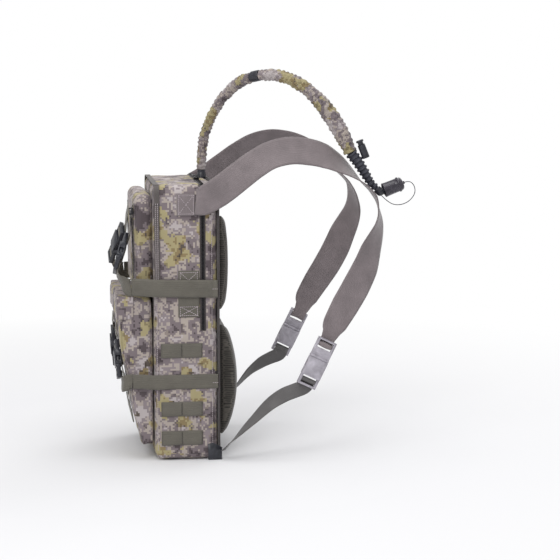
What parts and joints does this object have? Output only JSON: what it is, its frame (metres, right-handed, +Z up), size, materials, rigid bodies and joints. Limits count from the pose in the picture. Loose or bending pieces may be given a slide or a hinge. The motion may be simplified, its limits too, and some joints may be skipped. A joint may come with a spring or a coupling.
{
  "type": "hunting backpack",
  "caption": "Compact camouflage hunting backpack with webbing rows, side compression straps, padded back, curved shoulder straps and a covered drinking hose.",
  "frame": {"origin": "centre of the flat bottom that the pack stands on", "axes": "+Z up, +Y towards the wearer's back, +X the wearer's right"},
  "size_m": [0.3362, 0.5184, 0.6674],
  "materials": {
    "camo_fabric": "matte",
    "olive_webbing": "matte",
    "shoulder_fabric": "satin",
    "olive_mesh": "matte",
    "dark_zipper": "matte",
    "black_metal": "satin",
    "black_plastic": "satin",
    "grey_plastic": "satin",
    "clear_film": "gloss",
    "blue_plastic": "satin",
    "hose_cover": "matte",
    "black_rubber": "satin",
    "smoke_plastic": "gloss"
  },
  "bodies": {
    "pack": {"back_pad_lower": "olive_mesh", "back_pad_upper": "olive_mesh", "back_panel": "camo_fabric", "bottom_anchors": "olive_webbing", "buckle_tabs": "olive_webbing", "cord_lock_body": "black_plastic", "front_grid_webbing": "olive_webbing", "front_piping": "olive_webbing", "hose_joiner": "black_plastic", "hose_port": "black_plastic", "hydration_hose": "hose_cover", "hydration_sleeve": "camo_fabric", "inner_hose": "black_rubber", "lower_buckle_females": "black_plastic", "lower_compression_straps": "olive_webbing", "lower_pocket": "camo_fabric", "main_compartment": "camo_fabric", "main_zipper_chain": "dark_zipper", "main_zipper_tape": "dark_zipper", "pocket_flap": "camo_fabric", "pocket_zipper_chain": "dark_zipper", "reservoir": "clear_film", "reservoir_outlet": "blue_plastic", "ribbed_boot": "black_rubber", "shoulder_anchors": "shoulder_fabric", "shoulder_buckle_male_left": "grey_plastic", "shoulder_buckle_male_right": "grey_plastic", "shoulder_strap_left": "shoulder_fabric", "shoulder_strap_right": "shoulder_fabric", "side_grid_webbing": "olive_webbing", "side_patches": "olive_webbing", "upper_buckle_females": "black_plastic", "upper_compression_straps": "olive_webbing", "upper_pocket": "camo_fabric"},
    "upper_buckle_right": {"upper_buckle_male_right": "black_plastic", "upper_strap_end_right": "olive_webbing"},
    "upper_buckle_left": {"upper_buckle_male_left": "black_plastic", "upper_strap_end_left": "olive_webbing"},
    "lower_buckle_right": {"lower_buckle_male_right": "black_plastic", "lower_strap_end_right": "olive_webbing"},
    "lower_buckle_left": {"lower_buckle_male_left": "black_plastic", "lower_strap_end_left": "olive_webbing"},
    "shoulder_buckle_right": {"shoulder_buckle_female_right": "grey_plastic", "lower_webbing_right": "olive_webbing"},
    "shoulder_buckle_left": {"shoulder_buckle_female_left": "grey_plastic", "lower_webbing_left": "olive_webbing"},
    "main_slider_right": {"main_zipper_slider_right": "black_metal"},
    "main_slider_left": {"main_zipper_slider_left": "black_metal"},
    "main_pull_right": {"main_zipper_pull_right": "black_metal"},
    "main_pull_left": {"main_zipper_pull_left": "black_metal"},
    "pocket_slider": {"pocket_zipper_slider": "black_metal"},
    "pocket_pull": {"pocket_zipper_pull": "black_metal"},
    "fill_cap": {"reservoir_cap": "blue_plastic"},
    "haul_loop": {"haul_loop": "olive_webbing"},
    "cord_lock": {"cord_lock_plunger": "black_plastic"},
    "mouthpiece": {"valve_elbow": "black_plastic", "bite_valve": "black_rubber", "cap_tether": "black_rubber"},
    "valve_cap": {"bite_valve_cap": "smoke_plastic"}
  },
  "joints": [
    {"name": "upper_clip_right", "type": "slide", "parent": "pack", "child": "upper_buckle_right", "axis": [0.3866, -0.3271, -0.8623], "range_m": [0, 0.025], "deforming": ["upper_strap_end_right"]},
    {"name": "lower_clip_right", "type": "slide", "parent": "pack", "child": "lower_buckle_right", "axis": [0.287, 0.0462, -0.9568], "range_m": [0, 0.025], "deforming": ["lower_strap_end_right"]},
    {"name": "shoulder_clip_right", "type": "slide", "parent": "pack", "child": "shoulder_buckle_right", "axis": [0.0233, -0.4424, -0.8965], "range_m": [0, 0.032], "deforming": ["lower_webbing_right"]},
    {"name": "main_zipper_right", "type": "slide", "parent": "pack", "child": "main_slider_right", "axis": [1, 0, 0], "range_m": [0, 0.07]},
    {"name": "main_pull_right", "type": "hinge", "parent": "main_slider_right", "child": "main_pull_right", "pos_m": [0.009, 0.0285, 0.48105], "axis": [0, -1, 0], "range_deg": [0, 120]},
    {"name": "upper_clip_left", "type": "slide", "parent": "pack", "child": "upper_buckle_left", "axis": [-0.3866, -0.3271, -0.8623], "range_m": [0, 0.025], "deforming": ["upper_strap_end_left"]},
    {"name": "lower_clip_left", "type": "slide", "parent": "pack", "child": "lower_buckle_left", "axis": [-0.287, 0.0462, -0.9568], "range_m": [0, 0.025], "deforming": ["lower_strap_end_left"]},
    {"name": "shoulder_clip_left", "type": "slide", "parent": "pack", "child": "shoulder_buckle_left", "axis": [-0.0233, -0.4424, -0.8965], "range_m": [0, 0.032], "deforming": ["lower_webbing_left"]},
    {"name": "main_zipper_left", "type": "slide", "parent": "pack", "child": "main_slider_left", "axis": [-1, 0, 0], "range_m": [0, 0.07]},
    {"name": "main_pull_left", "type": "hinge", "parent": "main_slider_left", "child": "main_pull_left", "pos_m": [-0.009, 0.0285, 0.48105], "axis": [0, 1, 0], "range_deg": [0, 120]},
    {"name": "pocket_zipper", "type": "slide", "parent": "pack", "child": "pocket_slider", "axis": [0, 0, -1], "range_m": [-0.003, 0.012]},
    {"name": "pocket_pull", "type": "hinge", "parent": "pocket_slider", "child": "pocket_pull", "pos_m": [0.09, -0.09205, 0.43], "axis": [-1, 0, 0], "range_deg": [0, 150]},
    {"name": "fill_cap_turn", "type": "hinge", "parent": "pack", "child": "fill_cap", "pos_m": [0.04, 0.036, 0.3033], "axis": [0, -1, 0], "range_deg": [0, 180]},
    {"name": "haul_loop_lift", "type": "hinge", "parent": "pack", "child": "haul_loop", "pos_m": [0, 0.0683, 0.4688], "axis": [1, 0, 0], "range_deg": [0, 150]},
    {"name": "cord_lock_press", "type": "slide", "parent": "pack", "child": "cord_lock", "axis": [0, 0.3697, -0.9292], "range_m": [0, 0.0045], "stiffness_N_per_m": 200},
    {"name": "mouthpiece_swivel", "type": "hinge", "parent": "pack", "child": "mouthpiece", "pos_m": [0.12, 0.334, 0.46], "axis": [0.0448, 0.7177, -0.6949], "range_deg": [-40, 40]},
    {"name": "valve_cap_pull", "type": "slide", "parent": "mouthpiece", "child": "valve_cap", "axis": [0, 0.9336, 0.3584], "range_m": [0, 0.03], "deforming": ["cap_tether"]}
  ]
}
